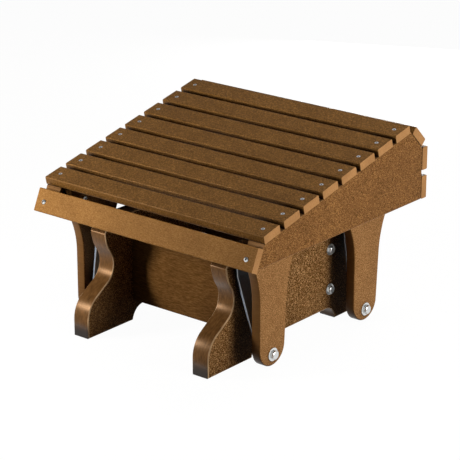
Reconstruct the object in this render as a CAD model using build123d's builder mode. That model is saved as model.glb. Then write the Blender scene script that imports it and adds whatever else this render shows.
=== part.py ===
from build123d import *
import os
from math import cos, sin, sqrt, tan, radians

# Glider ottoman in its rest position. Millimetres. +Z is up, the low front edge faces -Y and the
# right side is +X. The origin is on the floor under the middle of the whole ottoman.

# Seat: slats laid on two side panels
slat_count = 8
slat_width = 45.0
slat_gap = 12.2
slat_thickness = 16.0
seat_width = 523.0
seat_slope = 12.75  # degrees, rising to the rear
seat_depth = 107.0  # from the panels' bottom edge to the slats' tops, above the middle of the glide
seat_clearance = 7.0  # between the base's top and the panels' bottom edge
board_thickness = 38.0
panel_front_lean = 24.3  # degrees, the panels' front edge leaning back from upright
rear_slat_inset = 4.0  # from the rear top slat to the bevel on the panels' rear corner
apron_drop = 8.5  # from the panels' top front corner to the apron's upper edge
apron_screw_drop = 3.0  # from the apron's middle line down to its screws
slat_round = 1.5
board_chamfer = 2.0

# Legs hanging from the side panels
leg_thickness = 20.0
leg_width = 73.0
leg_floor_gap = 6.2
leg_flare_rise = 91.0  # from the end of the straight leg up to the panels' bottom edge
leg_flare_radius = 160.0  # on a leg's front edge
leg_taper = 3.4  # degrees, a leg's rear edge leaning out below its flare
leg_rear_flare_radius = 180.0
leg_front_inset = 6.8  # from the panels' top front corner to the front legs' flare
leg_top_gap = 3.0  # under the slats

# Base that stands on the floor
base_height = 218.0
hanger_space = 39.0  # between a base side and the leg beside it
ear_chamfer = 22.5
ear_radius = 70.0
ear_margin = 38.5  # from the upper pivot to the ear's tip
waist_step = 21.3  # from the ear's tip in to the waist
waist_drop = 66.5  # from the ear's tip down to the waist
toe_step = 51.5  # from the ear's tip out to the toe
waist_low_radius = 38.0
foot_slope = 33.0  # degrees, the straight top of the foot falling towards the toe
shoulder_radius = 55.0
arch_height = 26.0
arch_half_length = 97.0  # the level part of the arch under each base side
heel_radius = 30.0
stretcher_height = 130.0
stretcher_floor_gap = 40.5
stretcher_inset = 35.0  # from the lower pivot in to the middle of a stretcher

# Hanger links, each from an upper pivot on the base to a lower pivot on a leg
link_width = 37.0
link_thickness = 4.0
link_bend_radius = 8.0
pad_length = 23.0  # from a pivot to the bend beside it
pivot_step = 20.0  # from the lower pivot out to the upper one
upper_pivot_drop = 20.0  # below the base's top
lower_pivot_height = 28.5

# Pivot hardware
pivot_bolt_diameter = 10.0
pivot_head_flats = 15.0
pivot_head_height = 6.4
pivot_nut_height = 8.0
pivot_washer_diameter = 25.4
pivot_washer_thickness = 2.0
bolt_tail = 2.0  # thread showing past a nut
bushing_diameter = 18.0
bushing_length = 6.8
bushing_play = 0.05  # around the bolt
open_pivot_play = 1.9  # around the bolt in the rear links' lower bushings
side_play = 0.2  # beside a bushing
bolt_hole_play = 0.1

# Bolts that hold the stretchers
stretcher_bolt_diameter = 8.0
stretcher_bolt_length = 80.0
stretcher_bolt_flats = 13.0
stretcher_head_height = 5.3
stretcher_washer_diameter = 22.0
stretcher_washer_thickness = 1.8
stretcher_bolt_spacing = 80.0
stretcher_low_bolt_height = 65.0

# Wood screws
screw_diameter = 4.0
screw_length = 45.0
screw_head_diameter = 8.0
apron_screw_length = 38.0
apron_screw_head_diameter = 9.0
leg_screw_diameter = 5.0
leg_screw_length = 48.0
leg_screw_head_diameter = 10.0
pan_head_height = 2.6
leg_screw_spread = 60.0
leg_screw_edge = 15.0  # from the panels' bottom and top edges to the leg screws
screw_play = 0.1

# Values that follow from the ones above
slope = radians(seat_slope)
lean = radians(panel_front_lean)
pitch = slat_width + slat_gap
seat_half = seat_width / 2
panel_inner = seat_half - board_thickness
leg_inner = panel_inner - leg_thickness
base_half = leg_inner - hanger_space
base_inner = base_half - board_thickness
screw_x = seat_half - board_thickness / 2
panel_bottom_height = base_height + seat_clearance
seat_middle_height = panel_bottom_height + seat_depth
underside_middle = seat_middle_height - slat_thickness / cos(slope)
slat_reach = (slat_count - 1) / 2 * pitch + slat_width / 2
bevel_low = panel_bottom_height + 2 * slat_width + slat_gap
bevel_start = slat_reach * cos(slope) + slat_thickness * sin(slope) + rear_slat_inset
bevel_run = underside_middle + bevel_start * tan(slope) - bevel_low
panel_rear_reach = bevel_start + bevel_run
rear_reach = panel_rear_reach + slat_thickness
panel_front_y = -slat_reach * cos(slope) + slat_thickness * sin(slope)
panel_front_z = seat_middle_height - slat_reach * sin(slope) - slat_thickness * cos(slope)
flare_start = panel_bottom_height - leg_flare_rise
leg_end_radius = leg_width / 2
leg_end_height = leg_floor_gap + leg_end_radius
flare_spread = leg_flare_radius - sqrt(leg_flare_radius**2 - leg_flare_rise**2)
leg_front_half = leg_end_radius + flare_spread
taper = radians(leg_taper)
taper_start = (leg_end_radius * cos(taper), leg_end_height - leg_end_radius * sin(taper))
taper_end = (taper_start[0] + (flare_start - taper_start[1]) * tan(taper), flare_start)
flare_turn = sqrt(leg_rear_flare_radius**2 - (leg_flare_rise + leg_rear_flare_radius * sin(taper)) ** 2)
leg_rear_half = taper_end[0] + leg_rear_flare_radius * cos(taper) - flare_turn
lower_pivot_reach = -panel_front_y - leg_front_inset - leg_front_half
upper_pivot_reach = lower_pivot_reach + pivot_step
upper_pivot_height = base_height - upper_pivot_drop
ear_reach = upper_pivot_reach + ear_margin
waist_reach = ear_reach - waist_step
toe_reach = ear_reach + toe_step
stretcher_reach = lower_pivot_reach - stretcher_inset
glide_y = (toe_reach - rear_reach) / 2
bushing_gap = pivot_washer_thickness + side_play + bushing_length / 2
link_top_x = base_half + bushing_gap
link_low_x = leg_inner - bushing_gap


def side_view(x, middle=0):
    """Plane seen from the right: its own x runs to the rear from the glide's middle or from a leg's."""
    return Plane(origin=(x, glide_y + middle, 0), x_dir=(0, 1, 0), z_dir=(1, 0, 0))


def save(piece, name):
    piece.part.label = name
    export_step(piece.part, f"parts/{name}.step")


def bars(points, x_from, x_to, diameter, mode=Mode.ADD):
    """Round bars across the ottoman at the given side-view points."""
    with BuildSketch(side_view(min(x_from, x_to))) as ends:
        with Locations(*points):
            Circle(diameter / 2)
    extrude(ends.sketch, amount=abs(x_to - x_from), mode=mode)


def hex_bars(points, x_from, x_to, flats):
    """Six-sided bars across the ottoman at the given side-view points."""
    with BuildSketch(side_view(min(x_from, x_to))) as ends:
        with Locations(*points):
            RegularPolygon(flats / 2, 6, major_radius=False)
    extrude(ends.sketch, amount=abs(x_to - x_from))


def rings(points, x_from, x_to, outer, inner):
    """Flat rings across the ottoman at the given side-view points."""
    with BuildSketch(side_view(min(x_from, x_to))) as ends:
        with Locations(*points):
            Circle(outer / 2)
            Circle(inner / 2, mode=Mode.SUBTRACT)
    extrude(ends.sketch, amount=abs(x_to - x_from))


# Where the slats lie: side-view point in the middle of the outer face, and the angle of that face
class SlatPlace:
    def __init__(self, y, z, angle):
        self.y = y
        self.z = z
        self.angle = angle

    def plane(self, x):
        a = radians(self.angle)
        return Plane(origin=(x, glide_y + self.y, self.z), x_dir=(1, 0, 0), z_dir=(0, -sin(a), cos(a)))


top_places = []
for number in range(slat_count):
    along = ((slat_count - 1) / 2 - number) * pitch
    top_places.append(SlatPlace(along * cos(slope), seat_middle_height + along * sin(slope), seat_slope))

corner_offset = slat_thickness / sqrt(2)
corner_place = SlatPlace(
    panel_rear_reach - bevel_run / 2 + corner_offset,
    bevel_low + bevel_run / 2 + corner_offset,
    -45,
)
lower_back_place = SlatPlace(rear_reach, panel_bottom_height + slat_width / 2, -90)
upper_back_place = SlatPlace(rear_reach, panel_bottom_height + slat_width / 2 + pitch, -90)
apron_along = apron_drop + slat_width / 2
apron_place = SlatPlace(
    panel_front_y - apron_along * sin(lean) - slat_thickness * cos(lean),
    panel_front_z - apron_along * cos(lean) + slat_thickness * sin(lean),
    90 - panel_front_lean,
)
apron_screw_place = SlatPlace(
    apron_place.y - apron_screw_drop * sin(lean),
    apron_place.z - apron_screw_drop * cos(lean),
    apron_place.angle,
)


def screw_planes(places):
    return [place.plane(side * screw_x) for place in places for side in (-1, 1)]


def slat(place, name, pan_screw_place=None):
    """One slat the full width of the seat, drilled near both ends for flat or for pan-head screws."""
    with BuildPart() as piece:
        with BuildSketch(place.plane(0)):
            Rectangle(seat_width, slat_width)
        extrude(amount=-slat_thickness)
        fillet(piece.edges().filter_by(Axis.X), radius=slat_round)
        with Locations(*screw_planes([pan_screw_place or place])):
            if pan_screw_place:
                Hole(radius=screw_diameter / 2 + screw_play)
            else:
                CounterSinkHole(
                    radius=screw_diameter / 2 + screw_play,
                    counter_sink_radius=screw_head_diameter / 2 + screw_play,
                    counter_sink_angle=90,
                )
    save(piece, name)


def flat_screws(places, name):
    """Screws with flat heads let in flush with the slats."""
    head_height = (screw_head_diameter - screw_diameter) / 2
    with BuildPart() as piece:
        with Locations(*screw_planes(places)):
            Cone(
                bottom_radius=screw_diameter / 2,
                top_radius=screw_head_diameter / 2,
                height=head_height,
                align=(Align.CENTER, Align.CENTER, Align.MAX),
            )
            Cylinder(
                radius=screw_diameter / 2,
                height=screw_length,
                align=(Align.CENTER, Align.CENTER, Align.MAX),
            )
    save(piece, name)


os.makedirs("parts", exist_ok=True)

# Slats
for number, place in enumerate(top_places, start=1):
    slat(place, f"top_slat_{number}")
slat(corner_place, "corner_slat")
slat(upper_back_place, "back_slat_upper")
slat(lower_back_place, "back_slat_lower")
slat(apron_place, "front_apron", apron_screw_place)
flat_screws(top_places, "top_slat_screws")
flat_screws([corner_place], "corner_slat_screws")
flat_screws([upper_back_place, lower_back_place], "back_slat_screws")

with BuildPart() as apron_screws:
    with Locations(*screw_planes([apron_screw_place])):
        Cylinder(
            radius=apron_screw_head_diameter / 2,
            height=pan_head_height,
            align=(Align.CENTER, Align.CENTER, Align.MIN),
        )
        Cylinder(
            radius=screw_diameter / 2,
            height=apron_screw_length,
            align=(Align.CENTER, Align.CENTER, Align.MAX),
        )
save(apron_screws, "apron_screws")

# Side panels
leg_screw_points = []
for leg_side in (-1, 1):
    middle = leg_side * lower_pivot_reach
    lowest_top = underside_middle + (middle - leg_screw_spread / 2) * tan(slope)
    for across in (-1, 1):
        for height in (panel_bottom_height + leg_screw_edge, lowest_top - leg_screw_edge):
            leg_screw_points.append((middle + across * leg_screw_spread / 2, height))

panel_corners = [
    (panel_front_y, panel_front_z),
    (panel_front_y - (panel_front_z - panel_bottom_height) * tan(lean), panel_bottom_height),
    (panel_rear_reach, panel_bottom_height),
    (panel_rear_reach, bevel_low),
    (panel_rear_reach - bevel_run, bevel_low + bevel_run),
]
sunk_places = top_places + [corner_place, upper_back_place, lower_back_place]
leg_screw_tip = leg_inner + leg_screw_length

for side, side_name in ((-1, "left"), (1, "right")):
    with BuildPart() as panel:
        with BuildSketch(side_view(min(side * panel_inner, side * seat_half))):
            with BuildLine():
                Polyline(*panel_corners, close=True)
            make_face()
        extrude(amount=board_thickness)
        chamfer(panel.faces().filter_by(Axis.X).edges(), length=board_chamfer)
        with Locations(*[place.plane(side * screw_x) for place in sunk_places]):
            Hole(radius=screw_diameter / 2 + screw_play, depth=screw_length + screw_play)
        with Locations(apron_screw_place.plane(side * screw_x)):
            Hole(radius=screw_diameter / 2 + screw_play, depth=apron_screw_length + screw_play)
        bars(
            leg_screw_points,
            side * panel_inner,
            side * (leg_screw_tip + screw_play),
            leg_screw_diameter + 2 * screw_play,
            Mode.SUBTRACT,
        )
    save(panel, f"side_panel_{side_name}")

# Hanging legs: one outline, upright in front and tapered at the rear
for leg_side, end_name in ((-1, "front"), (1, "rear")):
    for side, side_name in ((-1, "left"), (1, "right")):
        middle = leg_side * lower_pivot_reach
        leg_top_rise = underside_middle + middle * tan(slope) - leg_top_gap
        with BuildPart() as leg:
            with BuildSketch(side_view(min(side * leg_inner, side * panel_inner), middle)):
                with BuildLine():
                    Line((-leg_end_radius, flare_start), (-leg_end_radius, leg_end_height))
                    ThreePointArc(
                        (-leg_end_radius, leg_end_height),
                        (0, leg_floor_gap),
                        taper_start,
                    )
                    Line(taper_start, taper_end)
                    RadiusArc(taper_end, (leg_rear_half, panel_bottom_height), leg_rear_flare_radius)
                    Polyline(
                        (leg_rear_half, panel_bottom_height),
                        (leg_rear_half, leg_top_rise + leg_rear_half * tan(slope)),
                        (-leg_front_half, leg_top_rise - leg_front_half * tan(slope)),
                        (-leg_front_half, panel_bottom_height),
                    )
                    RadiusArc(
                        (-leg_front_half, panel_bottom_height),
                        (-leg_end_radius, flare_start),
                        leg_flare_radius,
                    )
                make_face()
            extrude(amount=leg_thickness)
            chamfer(leg.faces().filter_by(Axis.X).edges(), length=board_chamfer)
            bars(
                [(middle, lower_pivot_height)],
                side * leg_inner,
                side * panel_inner,
                pivot_bolt_diameter + 2 * bolt_hole_play,
                Mode.SUBTRACT,
            )
            bars(
                leg_screw_points,
                side * leg_inner,
                side * panel_inner,
                leg_screw_diameter + 2 * screw_play,
                Mode.SUBTRACT,
            )
        save(leg, f"leg_{end_name}_{side_name}")

with BuildPart() as leg_screws:
    for side in (-1, 1):
        bars(leg_screw_points, side * leg_inner, side * leg_screw_tip, leg_screw_diameter)
        bars(
            leg_screw_points,
            side * (leg_inner - pan_head_height),
            side * leg_inner,
            leg_screw_head_diameter,
        )
save(leg_screws, "leg_screws")

# Base sides: one ogee outline, the same at the front and the rear
ear_height = base_height - ear_chamfer
waist_height = ear_height - waist_drop
ear_and_waist_radii = (waist_step**2 + waist_drop**2) / (2 * waist_step)
waist_high_radius = ear_and_waist_radii - ear_radius
ear_share = ear_radius / ear_and_waist_radii
ear = (-ear_reach, ear_height)
ear_end = (
    -ear_reach + ear_radius - ear_share * (ear_and_waist_radii - waist_step),
    ear_height - ear_share * waist_drop,
)
waist = (-waist_reach, waist_height)
foot_fall = radians(foot_slope)
foot_top = (
    -waist_reach - waist_low_radius * (1 - sin(foot_fall)),
    waist_height - waist_low_radius * cos(foot_fall),
)
shoulder_height = foot_top[1] - (toe_reach + foot_top[0]) * tan(foot_fall)
shoulder_length = shoulder_radius * tan((radians(90) - foot_fall) / 2)
shoulder = (
    -toe_reach + shoulder_length * cos(foot_fall),
    shoulder_height + shoulder_length * sin(foot_fall),
)
toe = (-toe_reach, shoulder_height - shoulder_length)
heel_run = sqrt(heel_radius**2 - (heel_radius - arch_height) ** 2)
heel = (-arch_half_length - heel_run, 0)
stretcher_bolt_points = [
    (end * stretcher_reach, stretcher_low_bolt_height + row * stretcher_bolt_spacing)
    for end in (-1, 1)
    for row in (0, 1)
]
upper_pivots = [(end * upper_pivot_reach, upper_pivot_height) for end in (-1, 1)]
lower_pivots = [(end * lower_pivot_reach, lower_pivot_height) for end in (-1, 1)]

for side, side_name in ((-1, "left"), (1, "right")):
    with BuildPart() as base_side:
        with BuildSketch(side_view(min(side * base_inner, side * base_half))):
            with BuildLine():
                Polyline((0, base_height), (-ear_reach + ear_chamfer, base_height), ear)
                RadiusArc(ear, ear_end, -ear_radius)
                RadiusArc(ear_end, waist, waist_high_radius)
                RadiusArc(waist, foot_top, waist_low_radius)
                Line(foot_top, shoulder)
                RadiusArc(shoulder, toe, -shoulder_radius)
                Polyline(toe, (-toe_reach, 0), heel)
                RadiusArc(heel, (-arch_half_length, arch_height), heel_radius)
                Line((-arch_half_length, arch_height), (0, arch_height))
                mirror(about=Plane.YZ)
            make_face()
        extrude(amount=board_thickness)
        chamfer(base_side.faces().filter_by(Axis.X).edges(), length=board_chamfer)
        bars(
            upper_pivots,
            side * base_inner,
            side * base_half,
            pivot_bolt_diameter + 2 * bolt_hole_play,
            Mode.SUBTRACT,
        )
        bars(
            stretcher_bolt_points,
            side * base_inner,
            side * base_half,
            stretcher_bolt_diameter + 2 * bolt_hole_play,
            Mode.SUBTRACT,
        )
    save(base_side, f"base_side_{side_name}")

# Stretchers between the base sides
head_inner_face = base_half + stretcher_washer_thickness
stretcher_bolt_tip = head_inner_face - stretcher_bolt_length
for end, end_name in ((-1, "front"), (1, "rear")):
    with BuildPart() as stretcher:
        with BuildSketch(side_view(-base_inner)):
            with Locations((end * stretcher_reach, stretcher_floor_gap + stretcher_height / 2)):
                Rectangle(board_thickness, stretcher_height)
        extrude(amount=2 * base_inner)
        fillet(stretcher.edges().filter_by(Axis.X), radius=slat_round)
        for side in (-1, 1):
            bars(
                [point for point in stretcher_bolt_points if point[0] * end > 0],
                side * base_inner,
                side * (stretcher_bolt_tip - bolt_hole_play),
                stretcher_bolt_diameter + 2 * bolt_hole_play,
                Mode.SUBTRACT,
            )
    save(stretcher, f"stretcher_{end_name}")

with BuildPart() as stretcher_bolts:
    for side in (-1, 1):
        bars(
            stretcher_bolt_points,
            side * stretcher_bolt_tip,
            side * head_inner_face,
            stretcher_bolt_diameter,
        )
        hex_bars(
            stretcher_bolt_points,
            side * head_inner_face,
            side * (head_inner_face + stretcher_head_height),
            stretcher_bolt_flats,
        )
save(stretcher_bolts, "stretcher_bolts")

with BuildPart() as stretcher_washers:
    for side in (-1, 1):
        rings(
            stretcher_bolt_points,
            side * base_half,
            side * head_inner_face,
            stretcher_washer_diameter,
            stretcher_bolt_diameter + 2 * bolt_hole_play,
        )
save(stretcher_washers, "stretcher_washers")

# Hanger links: flat bars set over from the base side to the leg between two upright pads
pad_end = link_width / 2
bushing_bore = pivot_bolt_diameter + 2 * bushing_play
open_bore = pivot_bolt_diameter + 2 * open_pivot_play

for end, end_name in ((-1, "front"), (1, "rear")):
    upper = (end * upper_pivot_reach, upper_pivot_height)
    lower = (end * lower_pivot_reach, lower_pivot_height)
    link_middle = ((upper[0] + lower[0]) / 2, (upper[1] + lower[1]) / 2)
    for side, side_name in ((-1, "left"), (1, "right")):
        with BuildPart() as link:
            with BuildSketch(Plane.XZ.offset(-glide_y - link_middle[0])):
                with BuildLine():
                    FilletPolyline(
                        (side * link_top_x, upper_pivot_height + pad_end),
                        (side * link_top_x, upper_pivot_height - pad_length),
                        (side * link_low_x, lower_pivot_height + pad_length),
                        (side * link_low_x, lower_pivot_height - pad_end),
                        radius=link_bend_radius,
                    )
                trace(line_width=link_thickness)
            extrude(amount=link_width, both=True)
            with BuildSketch(side_view(min(side * base_half, side * leg_inner))):
                SlotCenterPoint(link_middle, upper, link_width)
            extrude(amount=leg_inner - base_half, mode=Mode.INTERSECT)
            bars([upper, lower], side * base_half, side * leg_inner, bushing_diameter, Mode.SUBTRACT)
        save(link, f"link_{end_name}_{side_name}")

        low_bore = bushing_bore if end < 0 else open_bore
        with BuildPart() as bushings:
            for pivot, middle_x, bore in ((upper, link_top_x, bushing_bore), (lower, link_low_x, low_bore)):
                rings(
                    [pivot],
                    side * middle_x - bushing_length / 2,
                    side * middle_x + bushing_length / 2,
                    bushing_diameter,
                    bore,
                )
        save(bushings, f"bushings_{end_name}_{side_name}")


def pivot_set(points, head_face, nut_face, name):
    """Bolts, nuts and washers of four pivots, from under the heads to under the nuts."""
    towards_nut = 1 if nut_face > head_face else -1
    nut_end = nut_face + towards_nut * pivot_nut_height
    with BuildPart() as bolts:
        for side in (-1, 1):
            bars(
                points,
                side * head_face,
                side * (nut_end + towards_nut * bolt_tail),
                pivot_bolt_diameter,
            )
            hex_bars(
                points,
                side * (head_face - towards_nut * pivot_head_height),
                side * head_face,
                pivot_head_flats,
            )
    save(bolts, f"{name}_pivot_bolts")

    with BuildPart() as nuts:
        for side in (-1, 1):
            hex_bars(points, side * nut_face, side * nut_end, pivot_head_flats)
            bars(points, side * nut_face, side * nut_end, pivot_bolt_diameter, Mode.SUBTRACT)
    save(nuts, f"{name}_pivot_nuts")


def pivot_washers(points, faces, name):
    """Washers laid from each given face away from the middle of the ottoman."""
    with BuildPart() as washers:
        for side in (-1, 1):
            for face in faces:
                rings(
                    points,
                    side * face,
                    side * (face + pivot_washer_thickness),
                    pivot_washer_diameter,
                    pivot_bolt_diameter + 2 * bolt_hole_play,
                )
    save(washers, name)


# Upper pivots: heads inside the base, nuts outside the links
upper_outer_washer = link_top_x + bushing_length / 2 + side_play
pivot_set(
    upper_pivots,
    base_inner - pivot_washer_thickness,
    upper_outer_washer + pivot_washer_thickness,
    "upper",
)
pivot_washers(
    upper_pivots,
    [base_inner - pivot_washer_thickness, base_half, upper_outer_washer],
    "upper_pivot_washers",
)

# Lower pivots: heads outside the legs, nuts inside the links
lower_inner_washer = link_low_x - bushing_length / 2 - side_play - pivot_washer_thickness
pivot_set(
    lower_pivots,
    panel_inner + pivot_washer_thickness,
    lower_inner_washer,
    "lower",
)
pivot_washers(
    lower_pivots,
    [panel_inner, leg_inner - pivot_washer_thickness, lower_inner_washer],
    "lower_pivot_washers",
)
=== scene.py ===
import math

import bmesh
import bpy
import numpy as np
from mathutils import Matrix, Vector


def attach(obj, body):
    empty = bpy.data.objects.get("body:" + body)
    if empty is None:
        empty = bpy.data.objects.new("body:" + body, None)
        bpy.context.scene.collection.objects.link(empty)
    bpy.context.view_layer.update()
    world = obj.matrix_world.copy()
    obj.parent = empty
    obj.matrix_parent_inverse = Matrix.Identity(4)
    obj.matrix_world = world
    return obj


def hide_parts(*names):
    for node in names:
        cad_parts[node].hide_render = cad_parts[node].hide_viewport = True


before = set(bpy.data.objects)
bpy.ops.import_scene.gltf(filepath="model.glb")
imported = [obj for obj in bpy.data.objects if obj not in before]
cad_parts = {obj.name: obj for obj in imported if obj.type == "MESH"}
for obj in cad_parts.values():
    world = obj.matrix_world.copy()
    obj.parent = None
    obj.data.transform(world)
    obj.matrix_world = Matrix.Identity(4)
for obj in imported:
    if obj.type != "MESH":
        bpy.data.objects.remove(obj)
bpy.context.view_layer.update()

# Looks of a glider ottoman: slatted seat hung on steel links from an ogee-shaped base. Metres.

MM = 0.001
SEED = 11

# The photograph's viewpoint
camera_azimuth = 39.37  # degrees to the right of straight ahead
camera_elevation = 19.64
camera_distance = 3.824
camera_lens = 160.4  # mm
camera_sensor = 36.0  # mm wide
camera_aim = Vector((0.0361, -0.0482, 0.1937))

# Sizes of fine detail, in millimetres
same_corner = 0.002  # corners nearer than this are one
slat_edge = 2.2
link_edge = 0.8
sink = 0.5  # screw heads below the slats' faces
sink_width = 9.2
sink_depth = 2.6
screw_inset = 19.0  # from a slat's end
flat_head = 8.0
flat_head_height = 2.0
flat_shank = 4.0
flat_socket = 1.9  # from the middle of a driver socket out to its lobes
apron_head = 9.0
leg_head = 10.0
leg_shank = 5.0
pan_height = 2.6
pan_socket = 2.3
pivot_flats = 15.0
pivot_head = 6.4
pivot_shank = 10.0
pivot_washer = 25.4
stretcher_flats = 13.0
stretcher_head = 5.3
stretcher_shank = 8.0
stretcher_washer = 22.0
washer_play = 0.2
thread_length = 14.0
thread_pitch = 1.5
washer_roll = 0.45  # radius of a washer's rolled edges
thread_gap = 0.6  # from a shank's end to the thread's first turn
weld = 0.01  # corners of a driver socket nearer than this are one
overshoot = 1.0  # how far a cutter stands past what it cuts

# Shapes of the fasteners, each a share of the size it names
socket_waist = 0.68  # of a driver socket's reach, between two lobes
socket_floor = 0.75  # of a head's height, down to the socket's floor
dome_ball = 1.45  # of a pan head's radius, for the ball that rounds its top
turned_top = 0.475  # of a hexagon's flats, for the radius of the circle left flat at its top
turned_slope = 1.7  # outwards for each step down from that circle
thread_core = 0.46  # of a bolt's width, for the radius under its thread
thread_ridge = 0.55  # of the pitch, for the radius of the thread's ridge
nut_collar = 0.24  # of a nut's height, for the collar that stands on its hexagon
collar_run = 1.5  # of the collar's height, from its top down into the hexagon
collar_radii = (0.44, 0.39, 0.388)  # of a nut's flats: the collar, its seat and the nylon ring
ring_sunk = 0.2  # of the collar's height, above the ring
ring_height = 0.8  # of the collar's height

# Angles, in degrees
same_plane = 0.5  # faces that turn less than this are joined up
board_crease = 60
link_crease = 50
fastener_crease = 30

# Sizes in the boards' finish, in millimetres
crevice_shade_reach = 22.0  # how near another board has to be for the gap between them to be painted darker, as painted shade
sheltered_shade_reach = 150.0  # how near boards all round have to stand for a face to be painted darker, as painted shade
blotch_width = 45.0
streak_width = 2.4  # of saw and router marks

# Strengths in the boards' finish, from 0 to 1
broad_from, broad_full = 0.72, 0.93  # how squarely a broad face looks left or right
chamfer_spread = 0.08  # how far from halfway a chamfer may look
blotch_strength = 0.5
streak_strength = 0.1  # in roughness and in relief
relief_strength = 0.6
pigment = "dca468"  # of the boards; it warms what their skin gives back

lamp_aim = Vector((0, 0, 0.2))  # the middle of the ottoman


def linear(code):
    """An sRGB colour such as "7a5430" as linear RGBA."""
    parts = [int(code[i : i + 2], 16) / 255 for i in (0, 2, 4)]
    return [p / 12.92 if p <= 0.04045 else ((p + 0.055) / 1.055) ** 2.4 for p in parts] + [1.0]


def add(tree, kind, sockets=(), out=0, stops=(), **settings):
    """Adds a node and returns its output out, or the whole node where out is None. Each socket, by
    name or by place, takes a plain value, another node's output, or a list of such outputs that all
    go in. stops are a colour ramp's places and colour codes."""
    node = tree.nodes.new(kind)
    for name, value in settings.items():
        setattr(node, name, value)
    if stops:
        elements = node.color_ramp.elements
        while len(elements) < len(stops):
            elements.new(0.5)
        for element, (place, code) in zip(elements, stops):
            element.position = place
            element.color = linear(code)
    for socket, value in sockets.items() if isinstance(sockets, dict) else enumerate(sockets):
        sources = value if isinstance(value, list) else [value]
        if isinstance(sources[0], bpy.types.NodeSocket):
            for source in reversed(sources):
                tree.links.new(source, node.inputs[socket])
        else:
            node.inputs[socket].default_value = value
    return node if out is None else node.outputs[out]


# ---------------------------------------------------------------- finishes


def new_material(name):
    material = bpy.data.materials.new(name)
    material.use_nodes = True
    material.node_tree.nodes.clear()
    return material, material.node_tree


def specks(tree, places, size_mm, detail=2.0, roughness=0.5, stretch=(1, 1, 1)):
    """Irregular specks about size_mm across, drawn out by stretch."""
    scale = [1 / (size_mm * MM * s) for s in stretch]
    mapped = add(tree, "ShaderNodeMapping", {"Vector": places, "Scale": scale})
    sockets = {"Vector": mapped, "Scale": 1.0, "Detail": detail, "Roughness": roughness}
    return add(tree, "ShaderNodeTexNoise", sockets, out="Fac")


def sideways(tree, normal):
    """How squarely a surface faces left or right, from 0 to 1."""
    x = add(tree, "ShaderNodeSeparateXYZ", [normal], out="X")
    return add(tree, "ShaderNodeMath", [x], operation="ABSOLUTE")


def broad_side(tree):
    """1 on faces that look left or right, 0 on faces that look any other way."""
    share = sideways(tree, add(tree, "ShaderNodeTexCoord", out="Normal"))
    sockets = {"Value": share, "From Min": broad_from, "From Max": broad_full}
    return add(tree, "ShaderNodeMapRange", sockets, clamp=True)


def eased_edge(tree):
    """1 on the chamfers, which face halfway between a board's broad face and its edge."""
    share = sideways(tree, add(tree, "ShaderNodeNewGeometry", out="True Normal"))
    halfway = math.sqrt(0.5)
    return add(tree, "ShaderNodeMath", [share, halfway, chamfer_spread], operation="COMPARE")


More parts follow.
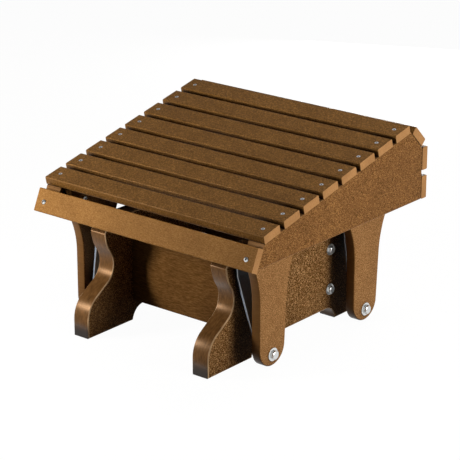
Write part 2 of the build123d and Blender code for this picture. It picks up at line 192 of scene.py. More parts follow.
def poly_board(
    name, skin, cut, speck_mm, pebble_mm, rough, gloss,
    upright=True, run=(1, 1, 1), sawn=(14, 1, 1), edge=None,
):
    """Extruded poly lumber: an embossed skin with fine speckle on the broad faces, and smoother
    sawn or routed surfaces where the board was cut. Faces in narrow gaps and faces among other
    boards are painted darker, as painted shade. skin and cut are colours along a ramp. rough and
    gloss are pairs, for the cut and for the skin. On upright boards the skin looks left and right,
    on the others the cut does.
    run draws the speckle out along the board, and sawn draws out the streaks of the cut. edge is
    the colour of a painted highlight along the eased edges."""
    material, tree = new_material(name)
    places = add(tree, "ShaderNodeTexCoord", out="Object")
    speckle = specks(tree, places, speck_mm, detail=3.0, roughness=0.7, stretch=run)
    blotches = specks(tree, places, blotch_width)
    streaks = specks(tree, places, streak_width, detail=3.0, roughness=0.6, stretch=sawn)
    skin_share = broad_side(tree)
    if not upright:
        skin_share = add(tree, "ShaderNodeMath", [1.0, skin_share], operation="SUBTRACT")
    skin = add(tree, "ShaderNodeValToRGB", [speckle], stops=skin)
    cut = add(tree, "ShaderNodeValToRGB", [streaks], stops=cut)
    mixed = {"out": 2, "data_type": "RGBA"}
    colour = add(tree, "ShaderNodeMix", {0: skin_share, 6: cut, 7: skin}, **mixed)

    layers = [(blotch_strength, blotches, [(0.3, "cfcac4"), (0.7, "ffffff")])]
    # Painted shade: ambient occlusion darkens faces near other boards, strongly in narrow gaps and
    # mildly where boards stand all round.
    painted_crevice_shade = [(0.15, "2c241d"), (0.7, "ffffff")]
    painted_sheltered_shade = [(0.15, "75695f"), (0.6, "ffffff")]
    for reach, darker in ((crevice_shade_reach, painted_crevice_shade), (sheltered_shade_reach, painted_sheltered_shade)):
        sockets = {"Distance": reach * MM}
        open_air = add(tree, "ShaderNodeAmbientOcclusion", sockets, out="AO", samples=6)
        layers.append((1.0, open_air, darker))
    for strength, place, darker in layers:
        shade = add(tree, "ShaderNodeValToRGB", [place], stops=darker)
        sockets = {0: strength, 6: colour, 7: shade}
        colour = add(tree, "ShaderNodeMix", sockets, blend_type="MULTIPLY", **mixed)
    # Painted highlight: the chamfers are painted the edge colour, in patches.
    if edge:
        patchy = [(0.3, "999999"), (0.6, "ffffff")]
        worn = add(tree, "ShaderNodeValToRGB", [blotches], stops=patchy)
        sockets = {0: eased_edge(tree), 6: linear("000000"), 7: worn}
        worn = add(tree, "ShaderNodeMix", sockets, **mixed)
        colour = add(tree, "ShaderNodeMix", {0: worn, 6: colour, 7: linear(edge)}, **mixed)

    sockets = {"Value": skin_share, "To Min": rough[0], "To Max": rough[1]}
    roughness = add(tree, "ShaderNodeMapRange", sockets)
    streaked = {"operation": "MULTIPLY_ADD"}
    roughness = add(tree, "ShaderNodeMath", [streaks, streak_strength, roughness], **streaked)
    sockets = {"Value": skin_share, "To Min": gloss[0], "To Max": gloss[1]}
    shine = add(tree, "ShaderNodeMapRange", sockets)
    height = add(tree, "ShaderNodeMath", [speckle, skin_share], operation="MULTIPLY")
    height = add(tree, "ShaderNodeMath", [streaks, streak_strength, height], **streaked)
    sockets = {"Height": height, "Strength": relief_strength, "Distance": pebble_mm * MM}
    bump = add(tree, "ShaderNodeBump", sockets)
    sockets = {"Base Color": colour, "Roughness": roughness, "IOR": 1.5, "Normal": bump}
    sockets |= {"Specular IOR Level": shine, "Specular Tint": linear(pigment)}
    plastic = add(tree, "ShaderNodeBsdfPrincipled", sockets)
    add(tree, "ShaderNodeOutputMaterial", {"Surface": plastic}, out=None)
    return material


def mottled(name, colour, worn, rough, speck_mm=1.6, metallic=1.0, bump_mm=0.02):
    """A plated, coated or moulded finish, or the lighter steel of a painted highlight: colour and
    worn alternate in patches, drawn about 1 to 3 mm across, coarser than real, so that they show."""
    smoother, rougher, relief = 0.08, 0.1, 0.3
    material, tree = new_material(name)
    places = add(tree, "ShaderNodeTexCoord", out="Object")
    patches = specks(tree, places, speck_mm, detail=3.0, roughness=0.6)
    base = add(tree, "ShaderNodeValToRGB", [patches], stops=[(0.35, colour), (0.7, worn)])
    sockets = {"Value": patches, "To Min": rough - smoother, "To Max": rough + rougher}
    roughness = add(tree, "ShaderNodeMapRange", sockets)
    sockets = {"Height": patches, "Strength": relief, "Distance": bump_mm * MM}
    bump = add(tree, "ShaderNodeBump", sockets)
    sockets = {"Base Color": base, "Roughness": roughness, "Metallic": metallic, "Normal": bump}
    surface = add(tree, "ShaderNodeBsdfPrincipled", sockets)
    add(tree, "ShaderNodeOutputMaterial", {"Surface": surface}, out=None)
    return material


sawn_end = [(0.3, "ad7b49"), (0.7, "bf8f5e")]

# On every board the flecks and pebbles are drawn 1.5 to 2 mm across before they are drawn out, and
# the streaks 2.4 mm, all coarser than real, so that they show at this distance.

# Slats: embossed HDPE, a low satin grain with paler sawn ends
slat_board = poly_board(
    "embossed_hdpe_slat",
    skin=[(0.34, "543814"), (0.5, "785226"), (0.66, "a5763e")],
    cut=sawn_end,
    speck_mm=1.6,
    pebble_mm=0.3,
    rough=(0.5, 0.38),
    gloss=(0.1, 0.3),
    upright=False,
    run=(1.6, 2.4, 1),
)
# Apron: the same stock, more matt, and painted paler for the light that falls on its nearly upright
# face
apron_board = poly_board(
    "embossed_hdpe_apron",
    skin=[(0.3, "82572a"), (0.5, "a07039"), (0.7, "bb8a52")],
    cut=sawn_end,
    speck_mm=1.5,
    pebble_mm=0.3,
    rough=(0.5, 0.5),
    gloss=(0.1, 0.08),
    upright=False,
    run=(2.2, 1, 1),
)
# Stretchers: the same stock, painted darker as painted shade, matt, its grain drawn in long streaks
# along the board
stretcher_board = poly_board(
    "embossed_hdpe_stretcher",
    skin=[(0.3, "53370f"), (0.5, "704b24"), (0.7, "8f6538")],
    cut=[(0.3, "8c5e30"), (0.7, "9c6c3b")],
    speck_mm=1.6,
    pebble_mm=0.3,
    rough=(0.5, 0.5),
    gloss=(0.1, 0.12),
    upright=False,
    run=(6, 1, 1),
)
# Side boards: a fine pebbled skin, matt and evenly flecked
panel_board = poly_board(
    "fine_pebbled_hdpe_board",
    skin=[(0.38, "4e3010"), (0.5, "784d25"), (0.61, "b0814c")],
    cut=sawn_end,
    speck_mm=1.6,
    pebble_mm=0.8,
    rough=(0.5, 0.5),
    gloss=(0.1, 0.12),
)
# Base sides: the heaviest pebbled skin in light and dark points, its palest points painted glints,
# and routed edges with a satin streak along the curve
thick_board = poly_board(
    "heavy_pebbled_hdpe_board",
    skin=[(0.38, "3e2610"), (0.48, "6e4a25"), (0.55, "8a6033"), (0.62, "dcae78")],
    cut=[(0.3, "533718"), (0.7, "7f5730")],
    speck_mm=1.8,
    pebble_mm=1.4,
    rough=(0.28, 0.6),
    gloss=(0.45, 0.04),
    sawn=(1.5, 4, 4),
    # a painted highlight along the eased edges
    edge="deb88c",
)
# Legs: thinner planed stock, so an even satin face
leg_board = poly_board(
    "planed_hdpe_leg",
    skin=[(0.38, "6e4822"), (0.5, "96693c"), (0.62, "c69662")],
    cut=[(0.3, "6a4724"), (0.7, "7c552d")],
    speck_mm=1.8,
    pebble_mm=0.45,
    rough=(0.32, 0.5),
    gloss=(0.2, 0.12),
)
# Zinc plate on bolts, nuts, washers and pan heads: bright, slightly mottled grey
zinc = mottled("zinc_plated_steel", "c4c6c6", "dfe0de", rough=0.34)
# Stainless screws: small cool glints in the slats
stainless = mottled(
    "stainless_screw_steel", "c9d0d8", "eef2f6", rough=0.42, speck_mm=0.8, metallic=0.5
)
# Inside a driver socket: dull steel, painted dark as painted shade in the recess
painted_socket_shade = mottled("socket_floor_steel", "2e3033", "45484c", rough=0.55)
# Powder coat on the links: a cool even grey with a soft sheen
coated = mottled(
    "powder_coated_link_steel", "8592a3", "94a1b3",
    rough=0.36, speck_mm=3.0, metallic=0.0, bump_mm=0.05,
)
# Link edges: a thin bright line in lighter, half-metallic steel, a painted highlight
painted_link_edge_highlight = mottled(
    "link_edge_painted_highlight_steel", "b9bfc4", "d6dade", rough=0.35, speck_mm=2.0, metallic=0.5
)
# Nylon bushings and rings: off-white and waxy
nylon = mottled("natural_nylon", "cfcbbf", "dedbd0", rough=0.5, speck_mm=2.0, metallic=0.0)


# ---------------------------------------------------------------- reading the frame


def solids(node):
    """The separate solids of a CAD node, each as an array of its corners, always in one order."""
    mesh = bmesh.new()
    mesh.from_mesh(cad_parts[node].data)
    bmesh.ops.remove_doubles(mesh, verts=mesh.verts, dist=same_corner * MM)
    left = set(mesh.verts)
    found = []
    while left:
        waiting = [left.pop()]
        solid = []
        while waiting:
            corner = waiting.pop()
            solid.append(corner.co[:])
            for edge in corner.link_edges:
                other = edge.other_vert(corner)
                if other in left:
                    left.remove(other)
                    waiting.append(other)
        found.append(np.array(solid))
    mesh.free()
    return sorted(found, key=lambda corners: tuple(corners.mean(0).round(5)))


def long_fasteners(node, sunk=0.0):
    """For each screw or bolt: the top of its head, the way the head faces, and its length. The
    head lies sunk millimetres under its place."""
    end_slice = 0.5 * MM  # of each end, to tell the wide head from the shank
    found = []
    for corners in solids(node):
        middle = (corners.min(0) + corners.max(0)) / 2
        axis = np.linalg.svd(corners - corners.mean(0))[2][0]
        along = (corners - middle) @ axis
        around = np.linalg.norm((corners - middle) - np.outer(along, axis), axis=1)
        far_end = around[along > along.max() - end_slice].max()
        near_end = around[along < along.min() + end_slice].max()
        if far_end < near_end:
            axis, along = -axis, -along
        top = middle + axis * (along.max() - sunk * MM)
        found.append((Vector(top), Vector(axis), along.max() - along.min() - sunk * MM))
    return found


def flat_fasteners(node, outward=1):
    """For each nut or washer: its outer end, the way that end faces along X, and its thickness.
    Where outward is -1, the end that faces the ottoman's middle counts."""
    found = []
    for corners in solids(node):
        low, high = corners.min(0), corners.max(0)
        middle = (low + high) / 2
        facing = math.copysign(1, middle[0]) * outward
        middle[0] = high[0] if facing > 0 else low[0]
        found.append((Vector(middle), Vector((facing, 0, 0)), high[0] - low[0]))
    return found


# ---------------------------------------------------------------- shapes that repeat

# Round shapes have 28 to 48 sides where they are seen, and 16 where they are hidden. A thread has
# 20 steps a turn.

cut_away = {"operation": "DIFFERENCE", "solver": "EXACT"}
overlap = {"operation": "INTERSECT", "solver": "EXACT"}
merged = {"operation": "UNION", "solver": "EXACT"}


def new_tree(name, inputs):
    """A geometry tree with named inputs, each (name, socket kind, default)."""
    tree = bpy.data.node_groups.new(name, "GeometryNodeTree")
    tree.interface.new_socket("Geometry", in_out="INPUT", socket_type="NodeSocketGeometry")
    for label, kind, default in inputs:
        socket = tree.interface.new_socket(label, in_out="INPUT", socket_type=kind)
        socket.default_value = default
    tree.interface.new_socket("Geometry", in_out="OUTPUT", socket_type="NodeSocketGeometry")
    return tree, add(tree, "NodeGroupInput", out=None).outputs


def raised(tree, geometry, z):
    place = add(tree, "ShaderNodeCombineXYZ", {"Z": z})
    return add(tree, "GeometryNodeTransform", {"Geometry": geometry, "Translation": place})


def drum(tree, radius, top, height, corners=40):
    """A cylinder or prism from top down by height."""
    sockets = {"Vertices": corners, "Radius": radius, "Depth": height}
    body = add(tree, "GeometryNodeMeshCylinder", sockets, out="Mesh")
    middle = add(tree, "ShaderNodeMath", [height, -0.5, top], operation="MULTIPLY_ADD")
    return raised(tree, body, middle)


def set_on_points(tree, given, shape, material=None):
    """Sets the shape on every point, facing along its "facing", each turned by its own angle."""
    sockets = {"Name": "facing"}
    facing = add(tree, "GeometryNodeInputNamedAttribute", sockets, data_type="FLOAT_VECTOR")
    turned = add(tree, "FunctionNodeAlignRotationToVector", {"Vector": facing}, axis="Z")
    sockets = {"Max": 2 * math.pi, "Seed": given["Seed"]}
    spin = add(tree, "FunctionNodeRandomValue", sockets, out=1, data_type="FLOAT")
    spin = add(tree, "ShaderNodeCombineXYZ", {"Z": spin})
    spin = add(tree, "FunctionNodeEulerToRotation", [spin])
    turned = add(tree, "FunctionNodeRotateRotation", [turned, spin], rotation_space="LOCAL")
    sockets = {"Points": given["Geometry"], "Instance": shape, "Rotation": turned}
    spread = add(tree, "GeometryNodeInstanceOnPoints", sockets)
    real = add(tree, "GeometryNodeRealizeInstances", [spread])
    if material:
        real = add(tree, "GeometryNodeSetMaterial", {"Geometry": real, "Material": material})
    add(tree, "NodeGroupOutput", [real], out=None)


def star_socket(tree, given):
    """The six-lobed driver socket, as a prism that a head is cut with."""
    inner = add(tree, "ShaderNodeMath", [given["Socket"], socket_waist], operation="MULTIPLY")
    sockets = {"Points": 6, "Inner Radius": inner, "Outer Radius": given["Socket"]}
    star = add(tree, "GeometryNodeCurveStar", sockets)
    star = add(tree, "GeometryNodeFillCurve", [star], mode="NGONS")
    deep = [given["Head height"], socket_floor]
    depth = add(tree, "ShaderNodeMath", deep, operation="MULTIPLY")
    prism = add(tree, "ShaderNodeMath", [depth, 2.0], operation="MULTIPLY")
    sockets = {"Mesh": star, "Offset Scale": prism, "Individual": False}
    walls = add(tree, "GeometryNodeExtrudeMesh", sockets)
    under = add(tree, "GeometryNodeFlipFaces", [star])
    whole = add(tree, "GeometryNodeJoinGeometry", [[walls, under]])
    whole = add(tree, "GeometryNodeMergeByDistance", {0: whole, "Distance": weld * MM})
    down = add(tree, "ShaderNodeMath", [depth, -1.0], operation="MULTIPLY")
    whole = raised(tree, whole, down)
    # The socket's walls and floor take the dark steel: painted shade.
    return add(tree, "GeometryNodeSetMaterial", {"Geometry": whole, "Material": painted_socket_shade})


SIZE = "NodeSocketFloat"
fastener_inputs = [
    ("Head width", SIZE, flat_head * MM),
    ("Head height", SIZE, flat_head_height * MM),
    ("Shank width", SIZE, flat_shank * MM),
    ("Length", SIZE, 40 * MM),
    ("Socket", SIZE, flat_socket * MM),
    ("Seed", "NodeSocketInt", SEED),
]


def wood_screw(tree, given, head, steel):
    """A head that a driver socket is cut into, on a plain shank."""
    head = add(tree, "GeometryNodeSetMaterial", {"Geometry": head, "Material": steel})
    sockets = {"Mesh 1": head, "Mesh 2": star_socket(tree, given)}
    head = add(tree, "GeometryNodeMeshBoolean", sockets, **cut_away)
    radius = add(tree, "ShaderNodeMath", [given["Shank width"], 0.5], operation="MULTIPLY")
    height = given["Head height"]
    below = add(tree, "ShaderNodeMath", [given["Length"], height], operation="SUBTRACT")
    top = add(tree, "ShaderNodeMath", [height, -1.0], operation="MULTIPLY")
    shank = drum(tree, radius, top, below, 16)
    shank = add(tree, "GeometryNodeSetMaterial", {"Geometry": shank, "Material": steel})
    set_on_points(tree, given, add(tree, "GeometryNodeJoinGeometry", [[head, shank]]))


def flat_head_tree():
    """A countersunk wood screw: a cone under a flat head, and a driver socket."""
    tree, given = new_tree("countersunk_screw", fastener_inputs)
    radius = add(tree, "ShaderNodeMath", [given["Head width"], 0.5], operation="MULTIPLY")
    narrow = add(tree, "ShaderNodeMath", [given["Shank width"], 0.5], operation="MULTIPLY")
    sockets = {"Vertices": 36, "Radius Top": radius, "Radius Bottom": narrow}
    sockets |= {"Depth": given["Head height"]}
    cone = add(tree, "GeometryNodeMeshCone", sockets, out="Mesh")
    down = add(tree, "ShaderNodeMath", [given["Head height"], -1.0], operation="MULTIPLY")
    wood_screw(tree, given, raised(tree, cone, down), stainless)
    return tree


def pan_head_tree():
    """A pan-head wood screw: a low dome with a driver socket."""
    tree, given = new_tree("pan_head_screw", fastener_inputs)
    radius = add(tree, "ShaderNodeMath", [given["Head width"], 0.5], operation="MULTIPLY")
    disc = drum(tree, radius, 0.0, given["Head height"])
    dome = add(tree, "ShaderNodeMath", [radius, dome_ball], operation="MULTIPLY")
    sockets = {"Segments": 40, "Rings": 24, "Radius": dome}
    ball = add(tree, "GeometryNodeMeshUVSphere", sockets, out="Mesh")
    ball = raised(tree, ball, add(tree, "ShaderNodeMath", [dome, -1.0], operation="MULTIPLY"))
    head = add(tree, "GeometryNodeMeshBoolean", {"Mesh 2": [disc, ball]}, **overlap)
    wood_screw(tree, given, head, zinc)
    return tree


def chamfered_hexagon(tree, flats, top, height):
    """A hexagon prism whose corners are turned off at the top, as on forged heads and nuts."""
    radius = add(tree, "ShaderNodeMath", [flats, 1 / math.sqrt(3)], operation="MULTIPLY")
    prism = drum(tree, radius, top, height, 6)
    narrow = add(tree, "ShaderNodeMath", [flats, turned_top], operation="MULTIPLY")
    wide = add(tree, "ShaderNodeMath", [height, turned_slope, narrow], operation="MULTIPLY_ADD")
    sockets = {"Vertices": 48, "Radius Top": narrow, "Radius Bottom": wide, "Depth": height}
    cone = add(tree, "GeometryNodeMeshCone", sockets, out="Mesh")
    low = add(tree, "ShaderNodeMath", [top, height], operation="SUBTRACT")
    cone = raised(tree, cone, low)
    return add(tree, "GeometryNodeMeshBoolean", {"Mesh 2": [prism, cone]}, **overlap)


def hex_bolt_tree():
    """A hex-head bolt with a coarse thread wound round the end of its shank."""
    tree, given = new_tree("hex_bolt", fastener_inputs)
    height, length, width = given["Head height"], given["Length"], given["Shank width"]
    head = chamfered_hexagon(tree, given["Head width"], 0.0, height)
    core = add(tree, "ShaderNodeMath", [width, thread_core], operation="MULTIPLY")
    below = add(tree, "ShaderNodeMath", [length, height], operation="SUBTRACT")
    top = add(tree, "ShaderNodeMath", [height, -1.0], operation="MULTIPLY")
    shaft = drum(tree, core, top, below, 32)
    ridge_radius = thread_ridge * thread_pitch * MM
    helix = add(tree, "ShaderNodeMath", [width, 0.5, -ridge_radius], operation="MULTIPLY_ADD")
    sockets = {"Rotations": thread_length / thread_pitch, "Height": thread_length * MM}
    sockets |= {"Start Radius": helix, "End Radius": helix, "Resolution": 20}
    helix = add(tree, "GeometryNodeCurveSpiral", sockets)
    sockets = {"Resolution": 3, "Radius": ridge_radius}
    ridge = add(tree, "GeometryNodeCurvePrimitiveCircle", sockets, mode="RADIUS")
    thread = add(tree, "GeometryNodeCurveToMesh", {0: helix, 1: ridge, "Fill Caps": True})
    start = add(tree, "ShaderNodeMath", [thread_gap * MM, length], operation="SUBTRACT")
    thread = raised(tree, thread, start)
    bolt = add(tree, "GeometryNodeJoinGeometry", [[head, shaft, thread]])
    set_on_points(tree, given, bolt, zinc)
    return tree


def lock_nut_tree():
    """A lock nut: a hexagon with a round collar that holds a nylon ring."""
    tree, given = new_tree("lock_nut", fastener_inputs)
    flats, height = given["Head width"], given["Length"]
    bore = add(tree, "ShaderNodeMath", [given["Shank width"], 0.5], operation="MULTIPLY")
    collar = add(tree, "ShaderNodeMath", [height, nut_collar], operation="MULTIPLY")
    top = add(tree, "ShaderNodeMath", [collar, -1.0], operation="MULTIPLY")
    rest = add(tree, "ShaderNodeMath", [height, collar], operation="SUBTRACT")
    hexagon = chamfered_hexagon(tree, flats, top, rest)
    collar_radius, seat_radius, ring_radius = [
        add(tree, "ShaderNodeMath", [flats, share], operation="MULTIPLY") for share in collar_radii
    ]
    collar_depth = add(tree, "ShaderNodeMath", [collar, collar_run], operation="MULTIPLY")
    ring_top = add(tree, "ShaderNodeMath", [collar, -ring_sunk], operation="MULTIPLY")
    ring_depth = add(tree, "ShaderNodeMath", [collar, ring_height], operation="MULTIPLY")
    past = overshoot * MM
    seat_depth = add(tree, "ShaderNodeMath", [collar, past], operation="ADD")
    through = add(tree, "ShaderNodeMath", [height, 4 * past], operation="ADD")
    band = drum(tree, collar_radius, 0.0, collar_depth)
    seat = drum(tree, seat_radius, past, seat_depth)
    hole = drum(tree, bore, 2 * past, through, 32)
    ring = drum(tree, ring_radius, ring_top, ring_depth)
    steel = add(tree, "GeometryNodeMeshBoolean", {"Mesh 2": [hexagon, band]}, **merged)
    steel = add(tree, "GeometryNodeSetMaterial", {"Geometry": steel, "Material": zinc})
    for cutter in (seat, hole):
        cutter = add(tree, "GeometryNodeSetMaterial", {"Geometry": cutter, "Material": zinc})
        sockets = {"Mesh 1": steel, "Mesh 2": cutter}
        steel = add(tree, "GeometryNodeMeshBoolean", sockets, **cut_away)
    ring, hole = [
        add(tree, "GeometryNodeSetMaterial", {"Geometry": shape, "Material": nylon})
        for shape in (ring, hole)
    ]
    ring = add(tree, "GeometryNodeMeshBoolean", {"Mesh 1": ring, "Mesh 2": hole}, **cut_away)
    set_on_points(tree, given, add(tree, "GeometryNodeJoinGeometry", [[steel, ring]]))
    return tree


def washer_tree():
    """A stamped washer: a flat ring with rolled edges."""
    tree, given = new_tree("flat_washer", fastener_inputs)
    outer = add(tree, "ShaderNodeMath", [given["Head width"], 0.5], operation="MULTIPLY")
    inner = add(tree, "ShaderNodeMath", [given["Shank width"], 0.5], operation="MULTIPLY")
    band = add(tree, "ShaderNodeMath", [outer, inner], operation="SUBTRACT")
    middle = add(tree, "ShaderNodeMath", [band, 0.5, inner], operation="MULTIPLY_ADD")
    sockets = {"Resolution": 48, "Radius": middle}
    path = add(tree, "GeometryNodeCurvePrimitiveCircle", sockets, mode="RADIUS")
    sockets = {"Width": band, "Height": given["Length"]}
    section = add(tree, "GeometryNodeCurvePrimitiveQuadrilateral", sockets, mode="RECTANGLE")
    sockets = {"Curve": section, "Radius": washer_roll * MM, "Count": 2}
    section = add(tree, "GeometryNodeFilletCurve", sockets, mode="POLY")
    ring = add(tree, "GeometryNodeCurveToMesh", [path, section])
    half = add(tree, "ShaderNodeMath", [given["Length"], -0.5], operation="MULTIPLY")
    set_on_points(tree, given, raised(tree, ring, half), zinc)
    return tree


def slat_tree(name, sunk, material):
    """One slat: a rectangle with eased long edges, drawn along X, cut for two sunk screws where
    sunk says so, turned to its slope and set in place."""
    inputs_wanted = [
        ("Length", SIZE, 500 * MM),
        ("Width", SIZE, 45 * MM),
        ("Thickness", SIZE, 16 * MM),
        ("Edge", SIZE, slat_edge * MM),
        ("Screw inset", SIZE, screw_inset * MM),
        ("Sink width", SIZE, sink_width * MM),
        ("Sink depth", SIZE, sink_depth * MM),
        ("Slope", SIZE, 0.0),
        ("Middle", "NodeSocketVector", (0, 0, 0)),
    ]
    tree, given = new_tree(name, inputs_wanted)
    half = add(tree, "ShaderNodeMath", [given["Length"], 0.5], operation="MULTIPLY")
    minus = add(tree, "ShaderNodeMath", [half, -1.0], operation="MULTIPLY")
    start = add(tree, "ShaderNodeCombineXYZ", {"X": minus})
    end = add(tree, "ShaderNodeCombineXYZ", {"X": half})
    sockets = {"Start": start, "End": end}
    line = add(tree, "GeometryNodeCurvePrimitiveLine", sockets, mode="POINTS")
    sockets = {"Width": given["Width"], "Height": given["Thickness"]}
    section = add(tree, "GeometryNodeCurvePrimitiveQuadrilateral", sockets, mode="RECTANGLE")
    sockets = {"Curve": section, "Radius": given["Edge"], "Count": 4}
    section = add(tree, "GeometryNodeFilletCurve", sockets, mode="POLY")
    bar = add(tree, "GeometryNodeCurveToMesh", {0: line, 1: section, "Fill Caps": True})
    bar = add(tree, "GeometryNodeSetMaterial", {"Geometry": bar, "Material": material})
    if sunk:
        depth = given["Sink depth"]
        top = add(tree, "ShaderNodeMath", [given["Thickness"], 0.5], operation="MULTIPLY")
        wide = add(tree, "ShaderNodeMath", [given["Sink width"], 0.5], operation="MULTIPLY")
        inset = add(tree, "ShaderNodeMath", [half, given["Screw inset"]], operation="SUBTRACT")
        low = add(tree, "ShaderNodeMath", [top, depth], operation="SUBTRACT")
        mouth = add(tree, "ShaderNodeMath", [wide, depth], operation="ADD")
        foot = add(tree, "ShaderNodeMath", [wide, depth], operation="SUBTRACT")
        twice = add(tree, "ShaderNodeMath", [depth, 2.0], operation="MULTIPLY")
        sockets = {"Vertices": 28, "Radius Top": mouth, "Radius Bottom": foot, "Depth": twice}
        cone = add(tree, "GeometryNodeMeshCone", sockets, out="Mesh")
        for way in (-1.0, 1.0):
            x = add(tree, "ShaderNodeMath", [inset, way], operation="MULTIPLY")
            place = add(tree, "ShaderNodeCombineXYZ", {"X": x, "Z": low})
            sockets = {"Geometry": cone, "Translation": place}
            cutter = add(tree, "GeometryNodeTransform", sockets)
            sockets = {"Geometry": cutter, "Material": material}
            cutter = add(tree, "GeometryNodeSetMaterial", sockets)
            sockets = {"Mesh 1": bar, "Mesh 2": cutter}
            bar = add(tree, "GeometryNodeMeshBoolean", sockets, **cut_away)
    turn = add(tree, "ShaderNodeCombineXYZ", {"X": given["Slope"]})
    turn = add(tree, "FunctionNodeEulerToRotation", [turn])
    sockets = {"Geometry": bar, "Translation": given["Middle"], "Rotation": turn}
    bar = add(tree, "GeometryNodeTransform", sockets)
    real = add(tree, "GeometryNodeRealizeInstances", [bar])
    add(tree, "NodeGroupOutput", [real], out=None)
    return tree


def grown(tree, name, values, points=((0, 0, 0),), facings=None):
    """Runs a tree on the given points and returns the result as a plain object."""
    mesh = bpy.data.meshes.new(name)
    mesh.from_pydata([tuple(p) for p in points], [], [])
    if facings:
        store = mesh.attributes.new("facing", "FLOAT_VECTOR", "POINT")
        store.data.foreach_set("vector", [v for facing in facings for v in facing])
    source = bpy.data.objects.new(name + "_points", mesh)
    bpy.context.scene.collection.objects.link(source)
    modifier = source.modifiers.new("grow", "NODES")
    modifier.node_group = tree
    for item in tree.interface.items_tree:
        if item.in_out == "INPUT" and item.name in values:
            modifier[item.identifier] = values[item.name]
    bpy.context.view_layer.update()
    graph = bpy.context.evaluated_depsgraph_get()
    made = bpy.data.meshes.new_from_object(source.evaluated_get(graph))
    if "facing" in made.attributes:
        made.attributes.remove(made.attributes["facing"])
    bpy.data.objects.remove(source)
    piece = bpy.data.objects.new(name, made)
    bpy.context.scene.collection.objects.link(piece)
    return piece


# ---------------------------------------------------------------- pieces


def smooth(mesh, angle):
    """Smooth shading that still breaks at edges sharper than angle degrees."""
    mesh.shade_smooth()
    mesh.set_sharp_from_angle(angle=math.radians(angle))


def eased(piece):
    """Chamfers that shade as round edges, because the normals lean on the large faces beside
    them."""
    smooth(piece.data, board_crease)
    lean = piece.modifiers.new("normals of the large faces", "WEIGHTED_NORMAL")
    lean.keep_sharp = True


def stand_for(piece, node, body):
    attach(piece, body)
    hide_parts(node)


def slat(tree, node):
    """Grows a slat to the size, slope and place of its CAD node."""
    corners = np.array([v.co[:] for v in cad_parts[node].data.vertices])
    middle = (corners.min(0) + corners.max(0)) / 2
    areas = {}
    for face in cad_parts[node].data.polygons:
        key = tuple(round(v, 3) for v in face.normal)
        areas[key] = areas.get(key, 0) + face.area
    out = max((n for n in areas if n[2] >= 0), key=areas.get)
    across = np.array([0, out[2], -out[1]])
    values = {
        "Length": float(np.ptp(corners[:, 0])),
        "Width": float(np.ptp(corners @ across)),
        "Thickness": float(np.ptp(corners @ np.array(out))),
        "Edge": slat_edge * MM,
        "Screw inset": screw_inset * MM,
        "Sink width": sink_width * MM,
        "Sink depth": sink_depth * MM,
        "Slope": math.atan2(-out[1], out[2]),
        "Middle": tuple(float(v) for v in middle),
    }
    piece = grown(tree, "dressed_" + node, values)
    eased(piece)
    stand_for(piece, node, "seat")


def board(node, material):
    """A copy of a board's CAD mesh with its flat faces joined up and its edges eased."""
    mesh = bmesh.new()
    mesh.from_mesh(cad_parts[node].data)
    bmesh.ops.remove_doubles(mesh, verts=mesh.verts, dist=same_corner * MM)
    flat = math.radians(same_plane)
    bmesh.ops.dissolve_limit(mesh, angle_limit=flat, verts=mesh.verts, edges=mesh.edges)
    made = bpy.data.meshes.new("dressed_" + node)
    mesh.to_mesh(made)
    mesh.free()
    made.materials.clear()
    made.materials.append(material)
    for face in made.polygons:
        face.material_index = 0
    piece = bpy.data.objects.new("dressed_" + node, made)
    bpy.context.scene.collection.objects.link(piece)
    eased(piece)
    return piece


def fasteners(tree, node, body, slot, places, **sizes):
    """Grows one kind of fastener on every place of a node. sizes are in millimetres."""
    values = {name.replace("_", " ").capitalize(): value * MM for name, value in sizes.items()}
    values["Length"] = places[0][2]
    values["Seed"] = SEED
    tops = [place[0] for place in places]
    facings = [place[1] for place in places]
    piece = grown(tree, "dressed_" + node, values, tops, facings)
    smooth(piece.data, fastener_crease)
    stand_for(piece, node, body)


sunk_slat = slat_tree("sunk_screw_slat", True, slat_board)
for node in [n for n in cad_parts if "slat" in n and not n.endswith("screws")]:
    slat(sunk_slat, node)
slat(slat_tree("front_apron_slat", False, apron_board), "front_apron")

board_finish = {
    "side_panel": panel_board,
    "base_side": thick_board,
    "stretcher": stretcher_board,
    "leg": leg_board,
}
boards = ["stretcher_front", "stretcher_rear"]
boards += [f"{kind}_{side}" for kind in ("side_panel", "base_side") for side in ("left", "right")]
boards += [f"leg_{end}_{side}" for end in ("front", "rear") for side in ("left", "right")]
for node in boards:
    body = "base" if node.startswith(("base", "stretcher")) else "seat"
    material = next(m for kind, m in board_finish.items() if node.startswith(kind))
    stand_for(board(node, material), node, body)

for end in ("front", "rear"):
    for side in ("left", "right"):
        body = f"{end}_{side}_hanger"
        node = f"link_{end}_{side}"
        piece = board(node, coated)
        # The bevelled edges take the lighter steel: a painted highlight.
        piece.data.materials.append(painted_link_edge_highlight)
        ease = piece.modifiers.new("painted highlight edge", "BEVEL")
        ease.width = link_edge * MM
        ease.segments = 2
        ease.limit_method = "ANGLE"
        ease.angle_limit = math.radians(link_crease)
        ease.material = 1
        stand_for(piece, node, body)
        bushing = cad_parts[f"bushings_{end}_{side}"]
        bushing.data.materials.clear()
        bushing.data.materials.append(nylon)

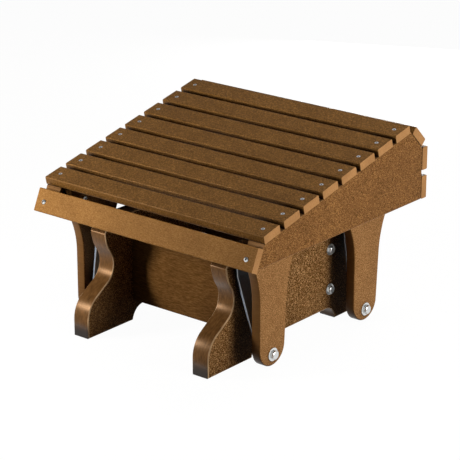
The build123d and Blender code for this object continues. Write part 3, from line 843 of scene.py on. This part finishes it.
flat_screw = flat_head_tree()
pan_screw = pan_head_tree()
bolt = hex_bolt_tree()
nut = lock_nut_tree()
washer = washer_tree()
for node in ("top_slat_screws", "corner_slat_screws", "back_slat_screws"):
    fasteners(
        flat_screw, node, "seat", "screw_steel", long_fasteners(node, sink),
        head_width=flat_head, head_height=flat_head_height,
        shank_width=flat_shank, socket=flat_socket,
    )
for node, head, shank in (
    ("apron_screws", apron_head, flat_shank),
    ("leg_screws", leg_head, leg_shank),
):
    fasteners(
        pan_screw, node, "seat", "screw_steel", long_fasteners(node),
        head_width=head, head_height=pan_height, shank_width=shank, socket=pan_socket,
    )
for body, level, outward in (("base", "upper", 1), ("seat", "lower", -1)):
    node = f"{level}_pivot_bolts"
    fasteners(
        bolt, node, body, "zinc_plated_steel", long_fasteners(node),
        head_width=pivot_flats, head_height=pivot_head, shank_width=pivot_shank,
    )
    node = f"{level}_pivot_nuts"
    fasteners(
        nut, node, body, "zinc_plated_steel", flat_fasteners(node, outward),
        head_width=pivot_flats, shank_width=pivot_shank,
    )
    node = f"{level}_pivot_washers"
    fasteners(
        washer, node, body, "zinc_plated_steel", flat_fasteners(node),
        head_width=pivot_washer, shank_width=pivot_shank + washer_play,
    )
fasteners(
    bolt, "stretcher_bolts", "base", "zinc_plated_steel", long_fasteners("stretcher_bolts"),
    head_width=stretcher_flats, head_height=stretcher_head, shank_width=stretcher_shank,
)
fasteners(
    washer, "stretcher_washers", "base", "zinc_plated_steel", flat_fasteners("stretcher_washers"),
    head_width=stretcher_washer, shank_width=stretcher_shank + washer_play,
)


# ---------------------------------------------------------------- studio


def looked_at(tree):
    """1 for what the camera, a reflection or glass sees, 0 for the light thrown on the object."""
    ray = add(tree, "ShaderNodeLightPath", out=None).outputs
    rays = [ray["Is Camera Ray"], ray["Is Glossy Ray"]]
    seen = add(tree, "ShaderNodeMath", rays, operation="MAXIMUM")
    rays = [seen, ray["Is Transmission Ray"]]
    return add(tree, "ShaderNodeMath", rays, operation="MAXIMUM")


def floor():
    """A floor that looks white, throws little light back, and takes a faint shadow. From below it
    is clear, so that the underside can be looked at."""
    reach = 12.0
    whiteness = 0.97
    mesh = bpy.data.meshes.new("studio_floor")
    corners = [(-reach, -reach, 0), (reach, -reach, 0), (reach, reach, 0), (-reach, reach, 0)]
    mesh.from_pydata(corners, [], [(0, 1, 2, 3)])
    piece = bpy.data.objects.new("studio_floor", mesh)
    bpy.context.scene.collection.objects.link(piece)
    material, tree = new_material("studio_paper")
    matte = add(tree, "ShaderNodeBsdfDiffuse", {"Color": linear("3c3b3a")})
    glow = add(tree, "ShaderNodeMath", [looked_at(tree), whiteness], operation="MULTIPLY")
    white = add(tree, "ShaderNodeEmission", {"Strength": glow})
    both = add(tree, "ShaderNodeAddShader", [matte, white])
    below = add(tree, "ShaderNodeNewGeometry", out="Backfacing")
    clear = add(tree, "ShaderNodeBsdfTransparent")
    seen = add(tree, "ShaderNodeMixShader", [below, both, clear])
    add(tree, "ShaderNodeOutputMaterial", {"Surface": seen}, out=None)
    mesh.materials.append(material)


def sky():
    """White walls under a dark ceiling, so that the tops of the slats stay deep in colour."""
    world = bpy.data.worlds.new("studio_air")
    bpy.context.scene.world = world
    world.use_nodes = True
    tree = world.node_tree
    tree.nodes.clear()
    way = add(tree, "ShaderNodeTexCoord", out="Generated")
    height = add(tree, "ShaderNodeSeparateXYZ", [way], out="Z")
    walls_end, ceiling_starts = 0.16, 0.42  # as the upward part of the way looked
    white, ceiling, thrown = 1.0, 0.08, 0.01
    sockets = {"Value": height, "From Min": walls_end, "From Max": ceiling_starts}
    sockets |= {"To Min": white, "To Max": ceiling}
    wall = add(tree, "ShaderNodeMapRange", sockets, clamp=True)
    sockets = {"Value": looked_at(tree), "To Min": thrown, "To Max": wall}
    strength = add(tree, "ShaderNodeMapRange", sockets)
    air = add(tree, "ShaderNodeBackground", {"Color": linear("ffffff"), "Strength": strength})
    add(tree, "ShaderNodeOutputWorld", {"Surface": air}, out=None)


def lamp(name, place, size, watts):
    """A square lamp, size metres wide, that shines at the middle of the ottoman."""
    light = bpy.data.lights.new(name, "AREA")
    light.size = size
    light.energy = watts
    piece = bpy.data.objects.new(name, light)
    bpy.context.scene.collection.objects.link(piece)
    piece.location = place
    aim = lamp_aim - Vector(place)
    piece.rotation_mode = "QUATERNION"
    piece.rotation_quaternion = aim.to_track_quat("-Z", "Y")


def camera():
    """A camera at the photograph's viewpoint."""
    lens = bpy.data.cameras.new("camera")
    lens.lens = camera_lens
    lens.sensor_width = camera_sensor
    piece = bpy.data.objects.new("camera", lens)
    bpy.context.scene.collection.objects.link(piece)
    a, e = math.radians(camera_azimuth), math.radians(camera_elevation)
    back = Vector((math.sin(a) * math.cos(e), -math.cos(a) * math.cos(e), math.sin(e)))
    right = Vector((math.cos(a), math.sin(a), 0))
    turn = Matrix((right, back.cross(right), back)).transposed().to_4x4()
    piece.matrix_world = Matrix.Translation(camera_aim + back * camera_distance) @ turn
    bpy.context.scene.camera = piece


floor()
sky()
lamp("key_right", (1.9, 0.12, 0.5), 0.85, 27)
lamp("near_front_left", (-0.72, -0.92, 0.5), 0.24, 11.5)
lamp("high_right", (1.25, -0.6, 1.35), 0.3, 2)
lamp("over_slats", (0.3, 0.55, 1.55), 0.6, 9)
lamp("fill_behind", (-0.9, 1.9, 0.2), 0.6, 22)
camera()
bpy.context.scene.view_settings.view_transform = "Standard"
